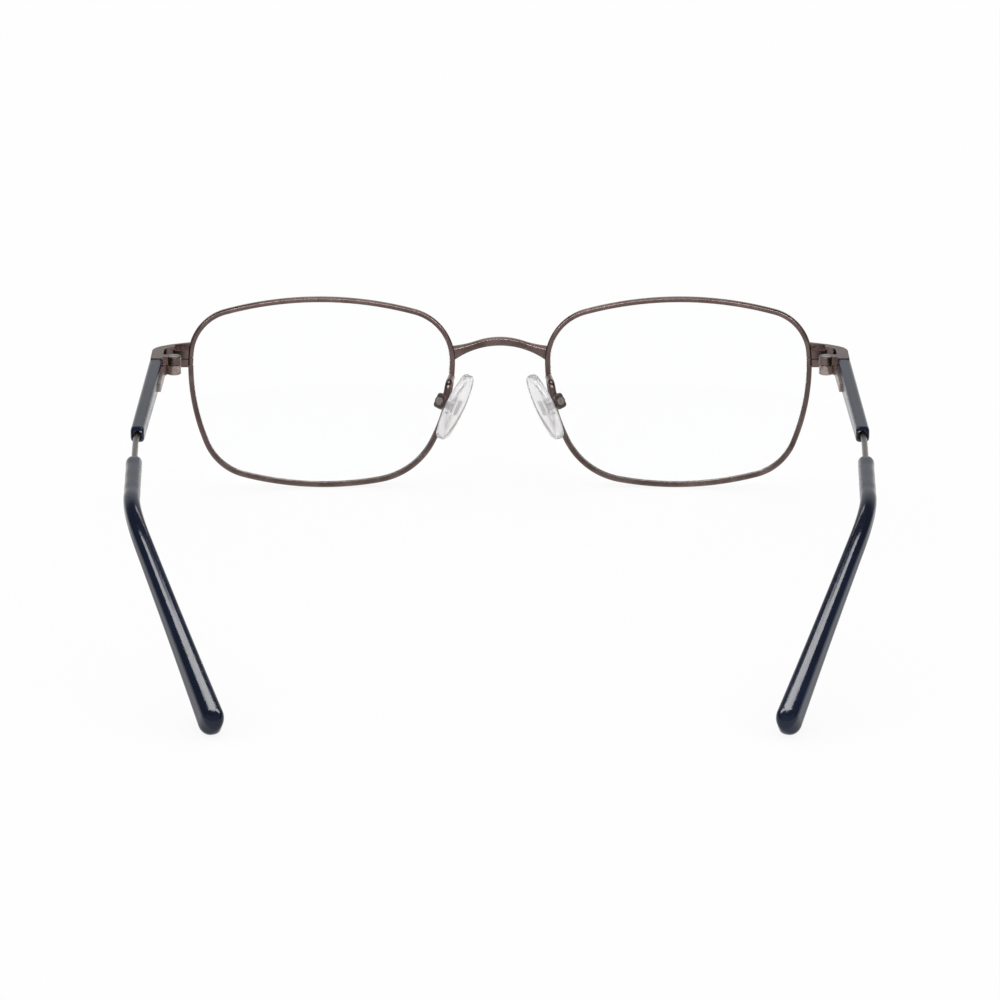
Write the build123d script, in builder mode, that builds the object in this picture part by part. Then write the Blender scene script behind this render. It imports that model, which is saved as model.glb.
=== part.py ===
from build123d import *
import os
from math import asin, atan2, cos, hypot, radians, sin, sqrt, tan

# Rectangular full-rim eyeglasses, open, standing on their rims and temple tips.
# Millimetres and degrees. +X is the wearer's left, the face looks towards -Y,
# the temples run to +Y and +Z is up from the table.
# The left side is modelled, and the right side is its mirror image.

# Front
lens_width = 51.0
lens_height = 36.5
bridge_width = 19.0
base_radius = 132.0
face_form = 4.0
pantoscopic_tilt = 8.0

# Eyewire
rim_depth = 1.6
rim_wall = 0.55
rim_cover = 0.45
rim_round = 0.35
rim_split = 0.16

# Lens
lens_thickness = 1.3
lens_bevel = 0.5
groove_clearance = 0.03

# Temples
side_reach = 4.7
temple_thickness = 2.5
hinge_rise = 8.0
hinge_to_bend = 91.3
bend_to_end = 48.0
temple_drop = 39.2
temple_toe_in = 19.9
temple_splay = 1.0

# Fits and cuts
overrun = 1.5
running_clearance = 0.05
seat_clearance = 0.03


def place(base, point, x_dir=(1, 0, 0), z_dir=(0, 0, 1)):
    """A plane at a point of another plane's space, turned to directions given there."""
    turned_x = base.from_local_coords(Vector(*x_dir)) - base.origin
    turned_z = base.from_local_coords(Vector(*z_dir)) - base.origin
    return Plane(base.from_local_coords(Vector(*point)), x_dir=turned_x, z_dir=turned_z)


# Stance: the table touches the rims' lower edge and the ends of the temple tips.
# Both are circles in side view, and the temple line rises by what their tangent falls.
tip_end_width = 4.15
tip_end_height = 5.8
endpiece_to_axis = 7.9
axis_to_joint = 1.8
hinge_inset = 2.1

half_width = lens_width / 2
half_height = lens_height / 2
lens_offset = bridge_width / 2 + half_width
temple_inner_half = lens_offset + half_width + side_reach
tilt = radians(pantoscopic_tilt)
edge_sag = base_radius - sqrt(base_radius**2 - half_width**2)
top_sag = base_radius - sqrt(base_radius**2 - half_height**2)
side_back = edge_sag + half_width * sin(radians(face_form))
nasal_back = edge_sag - half_width * sin(radians(face_form))
endpiece_front = (side_back - rim_depth / 2) / cos(tilt) - hinge_rise * tan(tilt)
hinge_back = endpiece_front + endpiece_to_axis
joint_back = hinge_back + axis_to_joint
bend_back = hinge_back + hinge_to_bend
toe = radians(temple_toe_in)
drop = radians(temple_drop)
tip_direction = Vector(-sin(toe), cos(toe) * cos(drop), -cos(toe) * sin(drop))

tip_radius = tip_end_height / 2
rim_low = half_height + rim_wall - rim_round
rim_low_back = top_sag - rim_depth / 2 + rim_round
rim_circle_y = rim_low_back * cos(tilt) + rim_low * sin(tilt)
rim_circle_z = rim_low_back * sin(tilt) - rim_low * cos(tilt)
tip_circle_y = bend_back + (bend_to_end - tip_radius) * tip_direction.Y
tip_circle_z = hinge_rise + (bend_to_end - tip_radius) * tip_direction.Z
contact_run = tip_circle_y - rim_circle_y
contact_fall = rim_circle_z - tip_circle_z
contact_turn = asin((tip_radius - rim_round) / hypot(contact_run, contact_fall))
rise = atan2(contact_fall, contact_run) + contact_turn
head_height = rim_round - rim_circle_z * cos(rise) - rim_circle_y * sin(rise)
foremost = -(half_height + rim_wall) * sin(tilt + rise) - rim_depth / 2 + top_sag
rearmost = tip_circle_y * cos(rise) - tip_circle_z * sin(rise) + tip_radius
head_middle = -(foremost + rearmost) / 2

# Head plane: its x is the wearer's left, its y the temple line and its z up from that line
head = Plane(
    origin=(0, head_middle, head_height),
    x_dir=(1, 0, 0),
    z_dir=(0, -sin(rise), cos(rise)),
)
# Front plane: x to the left, y up the front and z forward
front = place(head, (0, 0, 0), z_dir=(0, -cos(tilt), -sin(tilt)))
form = radians(face_form)
lens_plane = place(
    front, (lens_offset, 0, 0), x_dir=(cos(form), 0, -sin(form)), z_dir=(sin(form), 0, cos(form))
)
sphere_centre = lens_plane.from_local_coords(Vector(0, 0, -base_radius))

# Lens shape: four arcs between virtual corners, each corner rounded by its own radius.
# Corners are shares of the half width and half height, from the outer top round to the inner top.
corner_shares = ((0.96, 0.79), (0.79, -0.79), (-0.695, -0.87), (-0.97, 0.75))
bulge_shares = (0.075, 0.085, 0.094, 0.114)
corner_radius_shares = (0.24, 0.30, 0.395, 0.27)


corners = [Vector(x * half_width, y * half_height) for x, y in corner_shares]

with BuildSketch() as lens_shape:
    with BuildLine():
        for index, bulge in enumerate(bulge_shares):
            start = corners[index]
            end = corners[(index + 1) % len(corners)]
            outward = Vector(0, 0, 1).cross(end - start).normalized()
            middle = (start + end) * 0.5 + outward * (bulge * lens_height)
            ThreePointArc(start, middle, end)
    make_face()
    for corner, share in zip(corners, corner_radius_shares):
        nearest = lens_shape.vertices().sort_by_distance(corner)[0]
        fillet(nearest, radius=share * lens_height)


def lens_outline(growth):
    """The lens shape on the lens plane, each arc grown outward about its own centre."""
    with BuildSketch(lens_plane) as outline:
        with BuildLine():
            for arc in lens_shape.edges():
                passed = [arc @ share for share in (0, 0.5, 1)]
                radials = [(point - arc.arc_center).normalized() for point in passed]
                ThreePointArc(*[point + radial * growth for point, radial in zip(passed, radials)])
        make_face()
    return outline.sketch


def lens_prism(growth):
    """The lens shape run through the front along the lens axis."""
    with BuildPart() as prism:
        extrude(lens_outline(growth), amount=lens_height / 2, both=True)
    return prism.part


def curved_plate(growth, thickness, edge=0, edge_maker=None):
    """A plate of the lens shape between two spheres about the base curve's centre."""
    with BuildPart() as plate:
        add(lens_prism(growth))
        with Locations(sphere_centre):
            Sphere(base_radius + thickness / 2, mode=Mode.INTERSECT)
            Sphere(base_radius - thickness / 2, mode=Mode.SUBTRACT)
        if edge:
            edge_maker(plate.edges().filter_by(GeomType.LINE, reverse=True), edge)
    return plate.part


def lens_blank(growth):
    """A lens with its two-sided bevel, grown for the groove that holds it."""
    return curved_plate(growth, lens_thickness + 2 * growth, lens_bevel, chamfer)


# Lens: a clear meniscus whose bevelled edge sits in the eyewire's groove
with BuildPart() as lens:
    add(lens_blank(0))

# Rim: an eyewire with a groove inside, split at the outer side under the endpiece
closing_block_width = 2.2
closing_block_depth = 2.0
rim_plate = curved_plate(rim_wall, rim_depth, rim_round, fillet)
rim_outer = lens_prism(rim_wall)
split_x = lens_offset + half_width + (rim_wall - rim_cover) / 2

with BuildPart() as rim:
    add(rim_plate)
    add(lens_prism(-rim_cover), mode=Mode.SUBTRACT)
    add(lens_blank(groove_clearance), mode=Mode.SUBTRACT)
    with BuildSketch(place(head, (split_x, endpiece_front + rim_depth / 2, hinge_rise))):
        Rectangle(rim_wall + rim_cover + 2 * overrun, rim_depth + 2 * overrun)
    extrude(amount=rim_split / 2, both=True, mode=Mode.SUBTRACT)

# Bridge: an arched bar brazed between the rims
bridge_depth = 1.75
bridge_spring = 5.8
bridge_crown = 9.1
bridge_front_height = 3.28
bridge_back_height = 2.7
bridge_mid_height = 1.63
bridge_round = 0.4
bridge_flare = 4.7
bridge_fall = 0.78
bridge_half = bridge_width / 2
bridge_shoulder = bridge_crown + bridge_mid_height - bridge_fall


def bridge_face(depth, end_height):
    """The bridge's outline at a depth, arched below and flared above into the rims."""
    with BuildSketch(front.offset(depth)) as face:
        with BuildLine():
            under = ThreePointArc(
                (-bridge_half, bridge_spring), (0, bridge_crown), (bridge_half, bridge_spring)
            )
            over = ThreePointArc(
                (-bridge_flare, bridge_shoulder),
                (0, bridge_crown + bridge_mid_height),
                (bridge_flare, bridge_shoulder),
            )
            left_top = (bridge_half, bridge_spring + end_height)
            right_top = (-bridge_half, bridge_spring + end_height)
            TangentArc(over @ 1, left_top, tangent=over % 1)
            TangentArc(over @ 0, right_top, tangent=-(over % 0))
            Line(left_top, under @ 1)
            Line(right_top, under @ 0)
        make_face()
    return face.sketch


with BuildPart() as bridge:
    bridge_back = bridge_face(-nasal_back - bridge_depth / 2, bridge_back_height)
    bridge_front = bridge_face(-nasal_back + bridge_depth / 2, bridge_front_height)
    loft([bridge_back, bridge_front])
    bridge_ends = bridge.edges().filter_by(GeomType.LINE)
    fillet([edge for edge in bridge.edges() if edge not in bridge_ends], radius=bridge_round)
    add(rim_outer, mode=Mode.SUBTRACT)
    mirror(rim_outer, about=Plane.YZ, mode=Mode.SUBTRACT)

# Endpiece: a bar turned back at the corner, butting on the temple, with the upper knuckle
arm_height = 4.3
arm_thickness = 2.3
plate_thickness = 2.2
plate_front_wall = 0.9
plate_sweep = 0.6
plate_rise = 0.5
corner_radius = 4.2
inner_corner_radius = 1.6
endpiece_round = 0.3
knuckle_radius = 1.4
knuckle_round = 0.15
knuckle_height = 1.67
knuckle_gap = 0.06
web_width = 1.8
screw_radius = 0.5
screw_head_radius = 0.95

hinge_x = temple_inner_half - hinge_inset
arm_inner = temple_inner_half
arm_outer = arm_inner + arm_thickness
arm_bottom = hinge_rise - arm_height / 2
arm_top = hinge_rise + arm_height / 2
upper_knuckle_bottom = arm_top - knuckle_height
lower_knuckle_top = upper_knuckle_bottom - knuckle_gap
plate_back = endpiece_front + plate_thickness
block_front = endpiece_front + plate_front_wall
block_out = lens_offset + half_width + rim_wall + closing_block_width
rim_inside = lens_offset + half_width - rim_cover


def round_knuckle(radius, bottom, height):
    """A barrel about the hinge's axis with its two rims eased."""
    with BuildPart() as barrel:
        with BuildSketch(place(head, (hinge_x, hinge_back, bottom))):
            Circle(radius)
        extrude(amount=height)
        fillet(barrel.edges().filter_by(GeomType.CIRCLE), radius=knuckle_round)
    return barrel.part


with BuildPart() as endpiece:
    with BuildSketch(place(head, (0, 0, arm_bottom))):
        with BuildLine():
            outer = FilletPolyline(
                (rim_inside, endpiece_front),
                (arm_outer, endpiece_front + plate_sweep),
                (arm_outer, joint_back),
                radius=corner_radius,
            )
            inner = FilletPolyline(
                (arm_inner, joint_back),
                (arm_inner, plate_back + plate_sweep),
                (block_out, plate_back),
                radius=inner_corner_radius,
            )
            Line(outer @ 1, inner @ 0)
            Polyline(inner @ 1, (block_out, block_front), (rim_inside, block_front), outer @ 0)
        make_face()
    extrude(amount=arm_height + plate_rise)
    with BuildSketch(place(head, (0, joint_back + overrun, 0), z_dir=(0, -1, 0))):
        with BuildLine():
            Polyline(
                (rim_inside, arm_top + plate_rise),
                (arm_inner, arm_top),
                (arm_outer + overrun, arm_top),
                (arm_outer + overrun, arm_top + plate_rise + overrun),
                (rim_inside, arm_top + plate_rise + overrun),
                close=True,
            )
        make_face()
    extrude(amount=joint_back - endpiece_front + 2 * overrun, mode=Mode.SUBTRACT)
    with BuildSketch(place(head, (hinge_x, hinge_back, upper_knuckle_bottom))):
        with Locations(((arm_inner - hinge_x) / 2 + endpiece_round, 0)):
            Rectangle(arm_inner - hinge_x + 2 * endpiece_round, web_width)
    extrude(amount=knuckle_height)
    add(round_knuckle(knuckle_radius, upper_knuckle_bottom, knuckle_height))
    with Locations(place(head, (hinge_x, hinge_back, arm_top))):
        CounterSinkHole(
            radius=screw_radius + seat_clearance,
            counter_sink_radius=screw_head_radius + seat_clearance,
            depth=knuckle_height + overrun,
            counter_sink_angle=90,
        )
    add(rim_outer, mode=Mode.SUBTRACT)

# Hinge screw: countersunk, through the upper knuckle into the lower one
lower_knuckle_height = 1.9
lower_knuckle_bottom = lower_knuckle_top - lower_knuckle_height
screw_slot_width = 0.25
screw_slot_depth = 0.2
top_aligned = (Align.CENTER, Align.CENTER, Align.MAX)

with BuildPart() as hinge_screw:
    with BuildSketch(place(head, (hinge_x, hinge_back, lower_knuckle_bottom))):
        Circle(screw_radius)
    extrude(amount=arm_top - lower_knuckle_bottom)
    with Locations(place(head, (hinge_x, hinge_back, arm_top))):
        Cone(screw_radius, screw_head_radius, screw_head_radius - screw_radius, align=top_aligned)
    with BuildSketch(place(head, (hinge_x, hinge_back, arm_top - screw_slot_depth))):
        Rectangle(2 * screw_head_radius + overrun, screw_slot_width)
    extrude(amount=screw_slot_depth, mode=Mode.SUBTRACT)

# Hinge leaf: the lower knuckle and a strip let into the temple's inner face, held by two studs
leaf_proud = 0.5
leaf_sunk = 0.35
leaf_length = 11.0
leaf_height = 1.75
lower_knuckle_radius = 1.35
stud_radius = 0.5
stud_length = 0.8
stud_pitch = 5.0
joint_gap = 0.06
leaf_turn = 35

leaf_inner = temple_inner_half - leaf_proud
leaf_top = lower_knuckle_top
leaf_bottom = leaf_top - leaf_height
splay = radians(temple_splay)
along = (sin(splay), cos(splay), 0)
outward = (cos(splay), -sin(splay), 0)
block_middle = temple_inner_half + temple_thickness / 2
temple_front = joint_back + joint_gap
# Temple plane: x along the temple, y up and z outward, at the middle of its front end
temple = place(head, (block_middle, temple_front, hinge_rise), x_dir=along, z_dir=outward)
inner_face = -temple_thickness / 2
leaf_mid = (leaf_top + leaf_bottom) / 2 - hinge_rise

knuckle_side = hinge_x + lower_knuckle_radius * cos(radians(leaf_turn))
knuckle_rear = hinge_back + lower_knuckle_radius * sin(radians(leaf_turn))

with BuildPart() as hinge_leaf:
    add(round_knuckle(lower_knuckle_radius, lower_knuckle_bottom, lower_knuckle_height))
    with BuildSketch(place(head, (0, 0, leaf_bottom))):
        with BuildLine():
            Polyline(
                (hinge_x, hinge_back),
                (arm_inner - 2 * joint_gap, hinge_back),
                (arm_inner - 2 * joint_gap, temple_front + leaf_proud),
                (leaf_inner, temple_front + leaf_proud),
                (leaf_inner, temple_front),
                (knuckle_side, knuckle_rear),
                close=True,
            )
        make_face()
    extrude(amount=leaf_height)
    with BuildSketch(temple.offset(inner_face - leaf_proud)):
        with Locations((leaf_length / 2 + joint_gap / 2, leaf_mid)):
            Rectangle(leaf_length - joint_gap, leaf_height)
    extrude(amount=leaf_proud + leaf_sunk)
    with BuildSketch(temple.offset(inner_face + leaf_sunk)):
        with Locations((leaf_length / 2, leaf_mid)):
            with GridLocations(stud_pitch, 0, 2, 1):
                Circle(stud_radius)
    extrude(amount=stud_length)
    with BuildSketch(place(head, (hinge_x, hinge_back, lower_knuckle_bottom - overrun))):
        Circle(screw_radius + running_clearance)
    extrude(amount=lower_knuckle_height + 2 * overrun, mode=Mode.SUBTRACT)

# Temple block: the flat front section, with the leaf's pocket and the wire's bore
block_length = 44.0
block_front_height = 4.0
block_rear_height = 3.0
block_rear_round = 1.35
block_edge_round = 0.7
wire_radius = 0.55
socket_radius = 0.95
socket_depth = 1.2
wire_lead_in = 16.0
pocket_slack = 0.5

with BuildPart() as temple_block:
    with BuildSketch(temple.offset(inner_face)) as block_side:
        with BuildLine():
            Polyline(
                (0, -block_front_height / 2),
                (block_length, -block_rear_height / 2),
                (block_length, block_rear_height / 2),
                (0, block_front_height / 2),
                close=True,
            )
        make_face()
        fillet(block_side.vertices().sort_by(Axis.X)[-2:], radius=block_rear_round)
    extrude(amount=temple_thickness)
    flat_sides = temple_block.faces().filter_by(Axis(temple.origin, temple.z_dir))
    side_edges = flat_sides.edges().sort_by(Axis(temple.origin, temple.x_dir))
    fillet(side_edges[2:], radius=block_edge_round)
    with BuildSketch(temple.offset(inner_face)):
        with Locations(((leaf_length + pocket_slack) / 2, leaf_mid)):
            Rectangle(leaf_length + pocket_slack, leaf_height + 2 * seat_clearance)
    extrude(amount=leaf_sunk + seat_clearance, mode=Mode.SUBTRACT)
    with BuildSketch(temple.offset(inner_face + leaf_sunk)):
        with Locations((leaf_length / 2, leaf_mid)):
            with GridLocations(stud_pitch, 0, 2, 1):
                Circle(stud_radius + seat_clearance)
    extrude(amount=stud_length + seat_clearance, mode=Mode.SUBTRACT)
    with BuildSketch(place(temple, (wire_lead_in, 0, 0), x_dir=(0, 1, 0), z_dir=(1, 0, 0))):
        Circle(wire_radius + seat_clearance)
    extrude(amount=block_length, mode=Mode.SUBTRACT)
    with BuildSketch(
        place(temple, (block_length - socket_depth, 0, 0), x_dir=(0, 1, 0), z_dir=(1, 0, 0))
    ):
        Circle(socket_radius)
    extrude(amount=socket_depth + overrun, mode=Mode.SUBTRACT)

# Temple wire: from inside the block, bare for a stretch, then inside the tip to its core's end
bow_radius = 50.0
bend_radius = 18.0
bow_behind_block = 3.2
bend_x = 65.3
core_short = 14.0

wire_start = temple.from_local_coords(Vector(wire_lead_in + seat_clearance, 0, 0))
bow_point = temple.from_local_coords(Vector(block_length + bow_behind_block, 0, 0))
bend_point = head.from_local_coords(Vector(bend_x, bend_back, hinge_rise))
end_direction = head.from_local_coords(tip_direction) - head.origin
tip_end = bend_point + end_direction * bend_to_end
core_end = bend_point + end_direction * (bend_to_end - core_short)


def round_wire(end, radius):
    """The temple's line from the block to an end, swept with a round section."""
    with BuildPart() as wire:
        with BuildLine() as line:
            FilletPolyline(
                wire_start, bow_point, bend_point, end, radius=[bow_radius, bend_radius]
            )
        with BuildSketch(Plane(wire_start, z_dir=line.line % 0)):
            Circle(radius)
        sweep()
    return wire.part


with BuildPart() as temple_wire:
    add(round_wire(core_end, wire_radius))

# Temple tip: slim where the wire enters, bent down and in, deeper towards its rounded end
tip_front_size = 2.9
tip_gap = 61.6
tip_corner_share = 0.42
tip_front_angle = 30
tip_rear_angle = 6
tip_nose_steps = 5
tip_body_steps = 22

with BuildLine() as tip_line:
    FilletPolyline(wire_start, bow_point, bend_point, tip_end, radius=[bow_radius, bend_radius])
whole_line = tip_line.wires()[0]
tip_start = tip_gap - axis_to_joint - joint_gap - wire_lead_in
tip_length = whole_line.length - tip_start
front_nose = tip_front_size / 2


def nose_share(gone, nose):
    """The share of full size at a distance from a rounded end."""
    share = min(gone / nose, 1)
    return sqrt(1 - (1 - share) ** 2)


def nose_stations(first_angle, nose):
    """Distances from a rounded end, at even angles round it."""
    angles = [radians(first_angle + (90 - first_angle) * step / tip_nose_steps)
              for step in range(tip_nose_steps + 1)]
    return [nose * (1 - cos(angle)) for angle in angles]


def tip_section(gone):
    """A rounded rectangle square to the temple's line, a distance from the tip's front."""
    share = gone / tip_length
    width = tip_front_size + (tip_end_width - tip_front_size) * share**3
    height = tip_front_size + (tip_end_height - tip_front_size) * share**2
    size_share = nose_share(gone, front_nose) * nose_share(tip_length - gone, tip_radius)
    place_on_line = (tip_start + gone) / whole_line.length
    centre = whole_line @ place_on_line
    direction = whole_line % place_on_line
    across = head.z_dir.cross(direction)
    with BuildSketch(Plane(centre, x_dir=across, z_dir=direction)) as section:
        RectangleRounded(
            width * size_share,
            height * size_share,
            tip_corner_share * min(width, height) * size_share,
        )
    return section.sketch


front_stations = nose_stations(tip_front_angle, front_nose)
rear_stations = [tip_length - gone for gone in reversed(nose_stations(tip_rear_angle, tip_radius))]
body_run = rear_stations[0] - front_stations[-1]
body_stations = [
    front_stations[-1] + body_run * step / tip_body_steps for step in range(tip_body_steps + 1)
]

with BuildPart() as temple_tip:
    for stations in (front_stations, body_stations, rear_stations):
        loft([tip_section(gone) for gone in stations])
    add(round_wire(core_end + end_direction * seat_clearance, wire_radius + seat_clearance),
        mode=Mode.SUBTRACT)

# Closing blocks: the split eyewire's two ends, drawn together by a screw from below
rim_screw_radius = 0.5
rim_screw_head_radius = 0.8
rim_screw_head_height = 0.45
rim_screw_bite = 1.4
closing_inset = 0.5
closing_middle_x = block_out - closing_block_width / 2
closing_middle_y = block_front + closing_block_depth / 2
closing_height = (arm_height - rim_split) / 2 - closing_inset
closing_bottom = arm_bottom + closing_inset
closing_reach = closing_block_width + rim_wall + overrun


def closing_block(bottom):
    """One half of the closing block, against the eyewire and behind the endpiece."""
    with BuildPart() as half:
        with BuildSketch(place(head, (block_out - closing_reach / 2, closing_middle_y, bottom))):
            Rectangle(closing_reach, closing_block_depth)
        extrude(amount=closing_height)
        add(rim_outer, mode=Mode.SUBTRACT)
    return half.part


def closing_axis(height):
    """The plane across the closing screw's axis at a height."""
    return place(head, (closing_middle_x, closing_middle_y, height))


with BuildPart() as closing_block_upper:
    add(closing_block(hinge_rise + rim_split / 2))
    with BuildSketch(closing_axis(hinge_rise)):
        Circle(rim_screw_radius + seat_clearance)
    extrude(amount=rim_screw_bite + seat_clearance, mode=Mode.SUBTRACT)

with BuildPart() as closing_block_lower:
    add(closing_block(closing_bottom))
    with BuildSketch(closing_axis(closing_bottom)):
        Circle(rim_screw_radius + running_clearance)
    extrude(amount=closing_height + overrun, mode=Mode.SUBTRACT)
    with BuildSketch(closing_axis(closing_bottom)):
        Circle(rim_screw_head_radius + seat_clearance)
    extrude(amount=rim_screw_head_height, mode=Mode.SUBTRACT)

with BuildPart() as rim_screw:
    with BuildSketch(closing_axis(closing_bottom)):
        Circle(rim_screw_head_radius)
    extrude(amount=rim_screw_head_height)
    with BuildSketch(closing_axis(closing_bottom)):
        Circle(rim_screw_radius)
    extrude(amount=hinge_rise - closing_bottom + rim_screw_bite)
    with BuildSketch(closing_axis(closing_bottom)):
        Rectangle(2 * rim_screw_head_radius + overrun, screw_slot_width)
    extrude(amount=screw_slot_depth, mode=Mode.SUBTRACT)

# Nose pad: clear, oval, screwed to its box through a tab
pad_length = 13.8
pad_width = 6.8
pad_end_width = 3.0
pad_end_round_share = 0.68
pad_thickness = 1.6
pad_round = 0.7
pad_inset = 0.75
pad_down = 2.1
pad_back = 7.0
pad_lean = 24.0
pad_splay = 26.0
pad_boss_length = 3.2
pad_boss_width = 2.6
pad_boss_height = 0.45
box_distance = 2.95
box_drop = 0.2
box_length = 3.0
box_width = 2.2
box_height = 2.15
box_round = 0.6
box_edge_round = 0.25
ring_radius = 0.98
ring_height = 0.25
pocket_length = 2.0
tab_length = 1.3
tab_width = 0.9
tab_slack = 0.1
core_length = 3.0
core_width = 1.9
core_thickness = 0.5
pad_screw_radius = 0.4
pad_screw_head_radius = 0.75
pad_screw_head_height = 0.4

lean = radians(pad_lean)
turn = radians(pad_splay)
# Pad plane: x up the pad, y across it towards the back and z out of its nose side
pad_plane = place(
    front,
    (bridge_width / 2 - pad_inset, -pad_down, -pad_back),
    x_dir=(-sin(lean), cos(lean), 0),
    z_dir=(-cos(turn) * cos(lean), -cos(turn) * sin(lean), -sin(turn)),
)
tab_reach = tab_length / 2
pocket_depth = box_height / 2 + tab_reach + 2 * running_clearance
# Pad axis: the pad turns on its z; x runs up the pad and y away from it
pad_axis = place(pad_plane, (-box_drop, 0, -box_distance), z_dir=(0, 1, 0))


def pad_core(growth):
    """The insert's plate and round-ended tab, grown for the pad that is moulded round it."""
    with BuildPart() as core:
        with BuildSketch(pad_plane.offset(-core_thickness / 2 - growth)):
            Rectangle(core_length + 2 * growth, core_width + 2 * growth)
        extrude(amount=core_thickness + 2 * growth)
        with BuildSketch(pad_axis):
            Circle(tab_reach + growth)
            with Locations((0, -box_distance / 2)):
                Rectangle(tab_length + 2 * growth, box_distance)
        extrude(amount=tab_width / 2 + growth, both=True)
    return core.part


with BuildPart() as nose_pad:
    with BuildSketch(pad_plane.offset(-pad_thickness / 2)) as pad_outline:
        with BuildLine():
            one_side = ThreePointArc(
                (-pad_length / 2, pad_end_width / 2),
                (0, pad_width / 2),
                (pad_length / 2, pad_end_width / 2),
            )
            other_side = ThreePointArc(
                (-pad_length / 2, -pad_end_width / 2),
                (0, -pad_width / 2),
                (pad_length / 2, -pad_end_width / 2),
            )
            Line(one_side @ 0, other_side @ 0)
            Line(one_side @ 1, other_side @ 1)
        make_face()
        fillet(pad_outline.vertices(), radius=pad_end_width * pad_end_round_share)
    extrude(amount=pad_thickness)
    pad_faces = nose_pad.faces().filter_by(Axis(pad_plane.origin, pad_plane.z_dir))
    fillet(pad_faces.edges(), radius=pad_round)
    with BuildSketch(pad_plane.offset(-pad_thickness / 2 - pad_boss_height)):
        with Locations((-box_drop, 0)):
            Ellipse(pad_boss_length / 2, pad_boss_width / 2)
    extrude(amount=pad_boss_height + pad_thickness / 2)
    add(pad_core(seat_clearance), mode=Mode.SUBTRACT)

with BuildPart() as pad_insert:
    add(pad_core(0))
    with BuildSketch(pad_axis):
        Circle(pad_screw_radius + running_clearance)
    extrude(amount=tab_width, both=True, mode=Mode.SUBTRACT)

with BuildPart() as box_body:
    with BuildSketch(pad_axis):
        RectangleRounded(box_length, box_height, box_round)
    extrude(amount=box_width / 2, both=True)
    fillet(box_body.faces().sort_by(Axis(pad_axis.origin, pad_axis.z_dir))[-1].edges(),
           radius=box_edge_round)

with BuildPart() as pad_box:
    add(box_body.part)
    with BuildSketch(pad_axis.offset(box_width / 2)):
        Circle(ring_radius)
        Circle(pad_screw_head_radius + seat_clearance, mode=Mode.SUBTRACT)
    extrude(amount=ring_height)
    with BuildSketch(pad_axis.offset(-tab_width / 2 - tab_slack)):
        with Locations((0, (pocket_depth - box_height) / 2)):
            Rectangle(pocket_length, pocket_depth)
    extrude(amount=tab_width + 2 * tab_slack, mode=Mode.SUBTRACT)
    with BuildSketch(pad_axis):
        Circle(pad_screw_radius + seat_clearance)
    extrude(amount=box_width, both=True, mode=Mode.SUBTRACT)

with BuildPart() as pad_screw:
    with BuildSketch(pad_axis.offset(-box_width / 2)):
        Circle(pad_screw_radius)
    extrude(amount=box_width)
    with BuildSketch(pad_axis.offset(box_width / 2)):
        Circle(pad_screw_head_radius)
    extrude(amount=pad_screw_head_height)
    with BuildSketch(pad_axis.offset(box_width / 2 + pad_screw_head_height - screw_slot_depth)):
        Rectangle(2 * pad_screw_head_radius + overrun, screw_slot_width)
    extrude(amount=screw_slot_depth, mode=Mode.SUBTRACT)

# Pad arm: a round wire from the rim's back, backward and bent down into the box's top
pad_wire_radius = 0.68
arm_root_share = 0.2
arm_shift = 0.3
arm_entry = 0.45
arm_lean = 10.0
arm_bow_radius = 1.1
arm_drop = 2.3

nasal_side = lens_shape.edges().sort_by(Axis.X)[0]
root_flat = nasal_side @ arm_root_share
root_sag = base_radius - sqrt(base_radius**2 - root_flat.length**2)
root_point = lens_plane.from_local_coords(
    Vector(root_flat.X, root_flat.Y, -root_sag - rim_depth / 4)
)
box_top = pad_plane.from_local_coords(
    Vector(box_length / 2 - box_drop, 0, arm_shift - box_distance)
)
arm_rise = Vector(-sin(radians(arm_lean)), cos(radians(arm_lean)), 0)
arm_direction = front.from_local_coords(arm_rise) - front.origin
bow_top = box_top + arm_direction * arm_drop
box_inside = box_top - arm_direction * arm_entry

with BuildPart() as pad_arm:
    with BuildLine() as arm_line:
        FilletPolyline(root_point, bow_top, box_inside, radius=arm_bow_radius)
    with BuildSketch(Plane(root_point, z_dir=arm_line.line % 0)):
        Circle(pad_wire_radius)
    sweep()
    add(rim_plate, mode=Mode.SUBTRACT)
    add(box_body.part, mode=Mode.SUBTRACT)

os.makedirs("parts", exist_ok=True)
bridge.part.label = "bridge"
export_step(bridge.part, "parts/bridge.step")
left_pieces = {
    "rim": rim,
    "lens": lens,
    "closing_block_upper": closing_block_upper,
    "closing_block_lower": closing_block_lower,
    "rim_screw": rim_screw,
    "endpiece": endpiece,
    "hinge_screw": hinge_screw,
    "hinge_leaf": hinge_leaf,
    "temple_block": temple_block,
    "temple_wire": temple_wire,
    "temple_tip": temple_tip,
    "pad_arm": pad_arm,
    "pad_box": pad_box,
    "pad_screw": pad_screw,
    "pad_insert": pad_insert,
    "nose_pad": nose_pad,
}
for name, left in left_pieces.items():
    with BuildPart() as right:
        mirror(left.part, about=Plane.YZ)
    left.part.label = f"{name}_left"
    export_step(left.part, f"parts/{name}_left.step")
    right.part.label = f"{name}_right"
    export_step(right.part, f"parts/{name}_right.step")
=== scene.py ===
from math import cos, radians, sin

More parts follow.
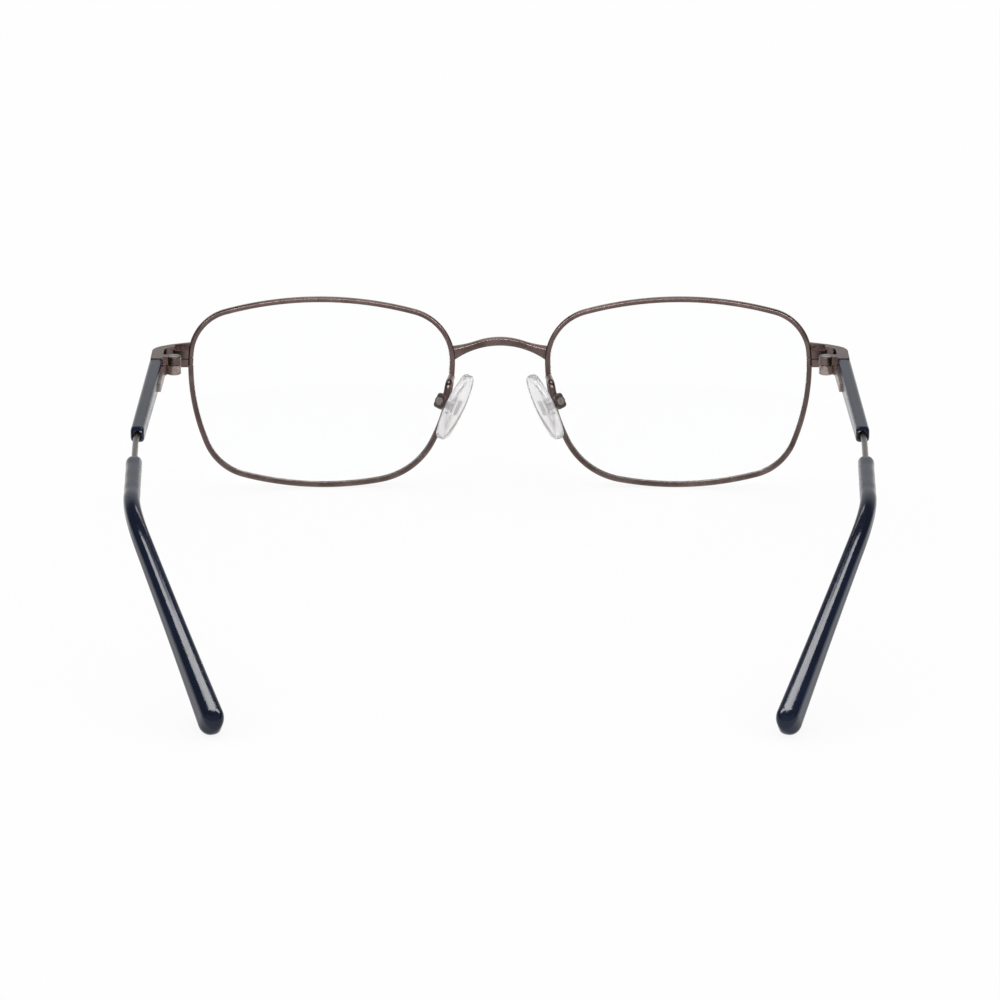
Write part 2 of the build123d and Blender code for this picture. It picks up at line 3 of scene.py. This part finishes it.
import bpy
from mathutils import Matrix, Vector

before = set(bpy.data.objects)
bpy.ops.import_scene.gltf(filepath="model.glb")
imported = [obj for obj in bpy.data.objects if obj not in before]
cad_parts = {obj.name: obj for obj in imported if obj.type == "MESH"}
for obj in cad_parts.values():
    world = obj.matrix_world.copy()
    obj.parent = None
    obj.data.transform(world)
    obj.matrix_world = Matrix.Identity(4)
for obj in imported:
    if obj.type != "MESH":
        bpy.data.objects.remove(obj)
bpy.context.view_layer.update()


# The front: two split eyewires joined by an arched bridge, with endpieces, closing blocks
# and pad arms brazed on. Drawn and stamped nickel alloy, polished and then plated
# in a satin brown gunmetal, so its colour and gloss hardly vary.
NOISE_SPREAD = (0.3, 0.7)


class Shade:
    """An output socket of a material's node tree; sums and products of it add Math nodes."""

    def __init__(self, tree, socket=None):
        self.tree = tree
        self.socket = socket

    def add(self, kind, settings=(), values=(), output=0):
        """A new node: first its settings, then the values or links of its sockets."""
        node = self.tree.nodes.new(kind)
        for name, value in dict(settings).items():
            setattr(node, name, value)
        for name, value in dict(values).items():
            if isinstance(value, Shade):
                self.tree.links.new(value.socket, node.inputs[name])
            else:
                node.inputs[name].default_value = value
        return Shade(self.tree, node.outputs[output] if node.outputs else None)

    def math(self, operation, first, second=0.0):
        return self.add("ShaderNodeMath", {"operation": operation}, {0: first, 1: second})

    def __add__(self, other):
        return self.math("ADD", self, other)

    def __sub__(self, other):
        return self.math("SUBTRACT", self, other)

    def __rsub__(self, other):
        return self.math("SUBTRACT", other, self)

    def __mul__(self, other):
        return self.math("MULTIPLY", self, other)

    __radd__ = __add__
    __rmul__ = __mul__

    def clear(self, low, high):
        """This value spread so that low becomes 0 and high 1, and held between them."""
        return self.add(
            "ShaderNodeMapRange",
            {"interpolation_type": "SMOOTHSTEP"},
            {"Value": self, "From Min": low, "From Max": high},
        )

    def tint(self, dark, light):
        """The colour between two colours that this value stands for."""
        ends = [end if isinstance(end, Shade) else (*end, 1) for end in (dark, light)]
        return self.add(
            "ShaderNodeMix",
            {"data_type": "RGBA"},
            {"Factor": self, "A": ends[0], "B": ends[1]},
            "Result",
        )

    def noise(self, scale, detail=3.0, roughness=0.5, stretch=(1, 1, 1)):
        """Noise fixed to the piece, with its scale in waves to the metre."""
        place = self.add("ShaderNodeTexCoord", output="Object")
        spread = self.add("ShaderNodeMapping", values={"Vector": place, "Scale": stretch})
        return self.add(
            "ShaderNodeTexNoise",
            values={"Vector": spread, "Scale": scale, "Detail": detail, "Roughness": roughness},
        )


def finish_named(name):
    """A new material and the start of its node tree."""
    material = bpy.data.materials.new(name)
    material.use_nodes = True
    material.node_tree.nodes.clear()
    return material, Shade(material.node_tree)


def surface(start, **values):
    """The material's Principled shader, joined to its output."""
    named = {name.replace("_", " "): value for name, value in values.items()}
    shader = start.add("ShaderNodeBsdfPrincipled", values=named)
    start.add("ShaderNodeOutputMaterial", values={"Surface": shader})


def relief(start, height, depth):
    """A bump as deep as depth, in metres."""
    return start.add("ShaderNodeBump", values={"Height": height, "Distance": depth})


def wear_finish(pieces, material):
    """Gives the left and right ones of these pieces one finish all over."""
    for side in ("left", "right"):
        for piece in pieces:
            put_on(f"{piece}_{side}", material)


def put_on(name, material):
    """Gives one piece of the frame one finish all over."""
    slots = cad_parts[name].data.materials
    slots.clear()
    slots.append(material)


GUNMETAL_DARK = (0.106, 0.074, 0.068)
GUNMETAL_LIGHT = (0.180, 0.132, 0.123)
GUNMETAL_SPREAD = (0.32, 0.68)
PLATING_CLOUD = 260.0
PLATING_GRAIN = 5200.0
PLATING_GRAIN_SHARE = 0.3
PLATING_GRAIN_DEPTH = 0.000001
PLATING_ROUGHNESS = 0.17
PLATING_CLOUD_ROUGHNESS = 0.12
PLATING_GRAIN_ROUGHNESS = 0.06

gunmetal, start = finish_named("gunmetal plating")
cloud = start.noise(PLATING_CLOUD, detail=4.0, roughness=0.6)
grain = start.noise(PLATING_GRAIN, detail=2.0)
patches = cloud * (1 - PLATING_GRAIN_SHARE) + grain * PLATING_GRAIN_SHARE
clouded = PLATING_ROUGHNESS + cloud * PLATING_CLOUD_ROUGHNESS
surface(
    start,
    Base_Color=patches.clear(*GUNMETAL_SPREAD).tint(GUNMETAL_DARK, GUNMETAL_LIGHT),
    Metallic=1.0,
    Roughness=clouded + grain * PLATING_GRAIN_ROUGHNESS,
    Normal=relief(start, grain, PLATING_GRAIN_DEPTH),
)
put_on("bridge", gunmetal)
wear_finish(("rim", "endpiece", "closing_block_upper", "closing_block_lower"), gunmetal)
wear_finish(("pad_arm", "pad_box"), gunmetal)


# The hinges: a stamped strip with the lower knuckle, riveted to the inner face of each temple.
# Bare nickel silver, brushed along its length and a little worn where the knuckles rub.
HINGE_DARK = (0.210, 0.168, 0.152)
HINGE_LIGHT = (0.420, 0.355, 0.325)
BRUSHED_ALONG_Y = (1, 0.06, 1)
BRUSH_LINES = 2600.0
BRUSH_SHARE = 0.6
BRUSH_DEPTH = 0.000003
HINGE_CLOUD = 400.0
HINGE_ROUGHNESS = 0.22
BRUSH_ROUGHNESS = 0.16

brushed, start = finish_named("brushed nickel silver")
lines = start.noise(BRUSH_LINES, roughness=0.6, stretch=BRUSHED_ALONG_Y)
cloud = start.noise(HINGE_CLOUD)
patches = lines * BRUSH_SHARE + cloud * (1 - BRUSH_SHARE)
surface(
    start,
    Base_Color=patches.clear(*NOISE_SPREAD).tint(HINGE_DARK, HINGE_LIGHT),
    Metallic=1.0,
    Roughness=HINGE_ROUGHNESS + lines * BRUSH_ROUGHNESS,
    Normal=relief(start, lines, BRUSH_DEPTH),
)
wear_finish(("hinge_leaf",), brushed)


# The screws: hinge, rim and pad screws turned from steel, with a slot across each head.
# Their finish is brighter than the plating and is scuffed by the driver.
STEEL_DARK = (0.260, 0.235, 0.220)
STEEL_LIGHT = (0.480, 0.450, 0.430)
STEEL_SPREAD = (0.35, 0.65)
TURNED_MARKS = 3800.0
TURNED_DEPTH = 0.000004
STEEL_ROUGHNESS = 0.18
TURNED_ROUGHNESS = 0.20

screw_steel, start = finish_named("turned screw steel")
marks = start.noise(TURNED_MARKS, detail=4.0, roughness=0.7)
surface(
    start,
    Base_Color=marks.clear(*STEEL_SPREAD).tint(STEEL_DARK, STEEL_LIGHT),
    Metallic=1.0,
    Roughness=STEEL_ROUGHNESS + marks * TURNED_ROUGHNESS,
    Normal=relief(start, marks, TURNED_DEPTH),
)
wear_finish(("hinge_screw", "rim_screw", "pad_screw"), screw_steel)


# The temple wires: a round alloy wire that shows bare between the two plastic sections.
# It is drawn, so its fine marks run along it, and it is lacquered bronze grey.
WIRE_DARK = (0.110, 0.092, 0.082)
WIRE_LIGHT = (0.190, 0.163, 0.148)
DRAWN_LINES = 3000.0
DRAWN_DEPTH = 0.000003
WIRE_ROUGHNESS = 0.24
DRAWN_ROUGHNESS = 0.12

drawn_wire, start = finish_named("drawn wire")
lines = start.noise(DRAWN_LINES, stretch=BRUSHED_ALONG_Y)
surface(
    start,
    Base_Color=lines.clear(*NOISE_SPREAD).tint(WIRE_DARK, WIRE_LIGHT),
    Metallic=1.0,
    Roughness=WIRE_ROUGHNESS + lines * DRAWN_ROUGHNESS,
    Normal=relief(start, lines, DRAWN_DEPTH),
)
wear_finish(("temple_wire",), drawn_wire)


# The temples: a flat front section and a bent tip, both of navy cellulose acetate.
# They are tumbled to a gloss, with a faint cloud in the colour, a slight orange peel
# and hairline scuffs that only show in the reflections.
NAVY_DARK = (0.0045, 0.0075, 0.020)
NAVY_LIGHT = (0.008, 0.014, 0.036)
NAVY_CLOUD = 90.0
PEEL = 420.0
PEEL_DEPTH = 0.000003
SCUFFS = 1500.0
SCUFFS_ALONG_Y = (1, 0.15, 1)
SCUFF_SPREAD = (0.45, 0.8)
NAVY_ROUGHNESS = 0.16
SCUFF_ROUGHNESS = 0.14
NAVY_INDEX = 1.35

navy, start = finish_named("navy acetate")
cloud = start.noise(NAVY_CLOUD, detail=4.0, roughness=0.6)
peel = start.noise(PEEL, detail=2.0)
scuffs = start.noise(SCUFFS, detail=5.0, roughness=0.7, stretch=SCUFFS_ALONG_Y)
surface(
    start,
    Base_Color=cloud.clear(*NOISE_SPREAD).tint(NAVY_DARK, NAVY_LIGHT),
    Roughness=NAVY_ROUGHNESS + scuffs.clear(*SCUFF_SPREAD) * SCUFF_ROUGHNESS,
    IOR=NAVY_INDEX,
    Normal=relief(start, peel, PEEL_DEPTH),
)
wear_finish(("temple_block", "temple_tip"), navy)


# The nose pads: clear silicone moulded round a stiff translucent core. The silicone is soft,
# with a faint haze; painted shade darkens it where it turns edge-on, for the thicker silicone
# seen there.
CLEAR_DARK = (0.90, 0.89, 0.895)
CLEAR_LIGHT = (0.965, 0.955, 0.96)
# The colour of the painted shade at the pads' edges, which stands for the thicker silicone seen
# there.
CLEAR_EDGE_SHADE = (0.50, 0.49, 0.51)
EDGE_SHADE_BLEND = 0.35
EDGE_SHADE_SPREAD = (0.5, 1.0)
CLEAR_HAZE = 500.0
CLEAR_ROUGHNESS = 0.10
HAZE_ROUGHNESS = 0.14
CLEAR_INDEX = 1.41
CLEAR_SHARE = 0.8
PAD_RELIEF = 0.0000015
CORE_DARK = (0.50, 0.49, 0.50)
CORE_LIGHT = (0.70, 0.69, 0.70)
CORE_GRAIN = 900.0
CORE_ROUGHNESS = 0.35
CORE_GRAIN_ROUGHNESS = 0.20
CORE_CLEAR_SHARE = 0.3

silicone, start = finish_named("clear silicone")
haze = start.noise(CLEAR_HAZE)
hazed = haze.clear(*NOISE_SPREAD).tint(CLEAR_DARK, CLEAR_LIGHT)
# Painted shade: the colour turns darker where the pad's surface faces away from the camera.
edge_shade = start.add("ShaderNodeLayerWeight", values={"Blend": EDGE_SHADE_BLEND}, output="Facing")
surface(
    start,
    Base_Color=edge_shade.clear(*EDGE_SHADE_SPREAD).tint(hazed, CLEAR_EDGE_SHADE),
    Roughness=CLEAR_ROUGHNESS + haze * HAZE_ROUGHNESS,
    IOR=CLEAR_INDEX,
    Transmission_Weight=CLEAR_SHARE,
    Normal=relief(start, haze, PAD_RELIEF),
)
core_plastic, start = finish_named("pad core plastic")
grain = start.noise(CORE_GRAIN)
surface(
    start,
    Base_Color=grain.clear(*NOISE_SPREAD).tint(CORE_DARK, CORE_LIGHT),
    Roughness=CORE_ROUGHNESS + grain * CORE_GRAIN_ROUGHNESS,
    Transmission_Weight=CORE_CLEAR_SHARE,
    Normal=relief(start, grain, PAD_RELIEF),
)
wear_finish(("nose_pad",), silicone)
wear_finish(("pad_insert",), core_plastic)


# The lenses: clear menisci of hard resin, edged to the eyewire's shape with a bevel.
# Their coating takes most of the reflection away, so hardly a sheen shows on them.
LENS_DARK = (0.992, 0.994, 0.994)
LENS_LIGHT = (0.998, 1.0, 1.0)
LENS_SMEAR = 60.0
LENS_ROUGHNESS = 0.005
SMEAR_ROUGHNESS = 0.01
LENS_INDEX = 1.5
COATING_SHARE = 0.75

lens_resin, start = finish_named("clear lens resin")
smear = start.noise(LENS_SMEAR, detail=4.0, roughness=0.6)
solid = start.add(
    "ShaderNodeBsdfPrincipled",
    values={
        "Base Color": smear.clear(*NOISE_SPREAD).tint(LENS_DARK, LENS_LIGHT),
        "Roughness": LENS_ROUGHNESS + smear * SMEAR_ROUGHNESS,
        "IOR": LENS_INDEX,
        "Transmission Weight": 1.0,
    },
)
open_glass = start.add("ShaderNodeBsdfTransparent", values={"Color": (*LENS_LIGHT, 1)})
shadow_ray = start.add("ShaderNodeLightPath", output="Is Shadow Ray")
shown_clear = start.math("MAXIMUM", shadow_ray, COATING_SHARE)
mixed = start.add("ShaderNodeMixShader", values={0: shown_clear, 1: solid, 2: open_glass})
start.add("ShaderNodeOutputMaterial", values={"Surface": mixed})
wear_finish(("lens",), lens_resin)


# The table: a plain white sweep. To the camera, in reflections and through the lenses it
# mostly glows, so it reads as white and takes only a faint soft shadow.
TABLE_SIZE = 12.0
TABLE_GREY = (0.92, 0.92, 0.92)
TABLE_WHITE = (0.93, 0.93, 0.93)
TABLE_CLOUD = 8.0
TABLE_SPREAD = (0.2, 0.8)
TABLE_GLOW = 0.88


def told_by(start, ray):
    """One where the light path is a ray of this kind, and zero elsewhere."""
    return start.add("ShaderNodeLightPath", output=f"Is {ray} Ray")


table_white, start = finish_named("white table")
seen = told_by(start, "Camera") + told_by(start, "Glossy") + told_by(start, "Transmission")
cloud = start.noise(TABLE_CLOUD, detail=2.0)
clouded = cloud.clear(*TABLE_SPREAD).tint(TABLE_GREY, TABLE_WHITE)
matt = start.add("ShaderNodeBsdfDiffuse", values={"Color": clouded})
glow = start.add("ShaderNodeEmission", values={"Color": (1, 1, 1, 1), "Strength": 1.0})
share = start.math("MINIMUM", seen, 1.0) * TABLE_GLOW
mixed = start.add("ShaderNodeMixShader", values={0: share, 1: matt, 2: glow})
start.add("ShaderNodeOutputMaterial", values={"Surface": mixed})

bpy.ops.mesh.primitive_plane_add(size=TABLE_SIZE, location=(0, 0, 0))
table = bpy.context.object
table.name = "table"
table.data.materials.append(table_white)


# The room: white to the camera and through the glass, with a lit backdrop beyond the object
# that gloss and metal mirror, a softer wall behind the viewer, and dim sides and ceiling.
ROOM_FILL = 1.0
ROOM_DIM = 0.14
BACKDROP_LEVEL = 0.68
BACKDROP_SIDE = 0.55
BACKDROP_CORE = 0.85
REAR_LEVEL = 0.46
REAR_SIDE = 0.20
REAR_CORE = 0.60
CEILING_FROM = 0.50
CEILING_TO = 0.72

room = bpy.data.worlds.new("room")
bpy.context.scene.world = room
room.use_nodes = True
room.node_tree.nodes.clear()
start = Shade(room.node_tree)
direction = start.add("ShaderNodeTexCoord", output="Generated")
behind = start.add("ShaderNodeSeparateXYZ", values={0: direction}, output="Y")
height = start.add("ShaderNodeSeparateXYZ", values={0: direction}, output="Z")
below_ceiling = 1 - height.clear(CEILING_FROM, CEILING_TO)
backdrop = (0 - behind).clear(BACKDROP_SIDE, BACKDROP_CORE) * below_ceiling
rear = behind.clear(REAR_SIDE, REAR_CORE) * below_ceiling
lit = backdrop * (BACKDROP_LEVEL - ROOM_DIM) + rear * (REAR_LEVEL - ROOM_DIM) + ROOM_DIM
mirrored = told_by(start, "Glossy")
spread = mirrored * lit + (1 - mirrored) * ROOM_FILL
seen = start.math("MINIMUM", told_by(start, "Camera") + told_by(start, "Transmission"), 1.0)
strength = start.math("MAXIMUM", spread, seen)
sky = start.add("ShaderNodeBackground", values={"Color": (1, 1, 1, 1), "Strength": strength})
start.add("ShaderNodeOutputWorld", values={"Surface": sky})


# The strip light: a soft box held low over the temple tips, facing down, whose glare is the
# long strip on each of them. It stands out of the picture's sight and lights no matt surface.
STRIP_WIDTH = 0.150
STRIP_LENGTH = 0.036
STRIP_HEIGHT = 0.090
STRIP_BACK = 0.056
STRIP_POWER = 0.26


def soft_box(name, width, length, height, back, power):
    """A rectangular lamp over the object, facing down, that shows in gloss only."""
    lamp = bpy.data.lights.new(name, "AREA")
    lamp.shape = "RECTANGLE"
    lamp.size = width
    lamp.size_y = length
    lamp.energy = power
    box = bpy.data.objects.new(name, lamp)
    bpy.context.scene.collection.objects.link(box)
    box.location = (0, back, height)
    box.visible_camera = False
    box.visible_diffuse = False


soft_box("strip light", STRIP_WIDTH, STRIP_LENGTH, STRIP_HEIGHT, STRIP_BACK, STRIP_POWER)


# The top light: a narrow soft box above the front, for the pale glints along the upper
# edges of the bridge and the rims.
TOP_WIDTH = 0.10
TOP_LENGTH = 0.03
TOP_HEIGHT = 0.14
TOP_BACK = -0.07
TOP_POWER = 0.055

soft_box("top light", TOP_WIDTH, TOP_LENGTH, TOP_HEIGHT, TOP_BACK, TOP_POWER)


# The camera: straight behind the glasses, on the wearer's side, looking down at the lenses
# from a metre away.
VIEW_DISTANCE = 1.0
VIEW_ELEVATION = radians(19.21)
VIEW_TARGET = Vector((0, -0.03761, 0.00621))
NEAR_CLIP = 0.01
FOCAL_PIXELS = 5229.11
IMAGE_PIXELS = 1000
SENSOR = 36.0

camera_data = bpy.data.cameras.new("camera")
camera_data.sensor_width = SENSOR
camera_data.lens = FOCAL_PIXELS * SENSOR / IMAGE_PIXELS
camera_data.clip_start = NEAR_CLIP
camera = bpy.data.objects.new("camera", camera_data)
bpy.context.scene.collection.objects.link(camera)
back = Vector((0, cos(VIEW_ELEVATION), sin(VIEW_ELEVATION)))
camera.location = VIEW_TARGET + back * VIEW_DISTANCE
camera.rotation_euler = (-back).to_track_quat("-Z", "Y").to_euler()
bpy.context.scene.camera = camera
bpy.context.scene.view_settings.view_transform = "Standard"
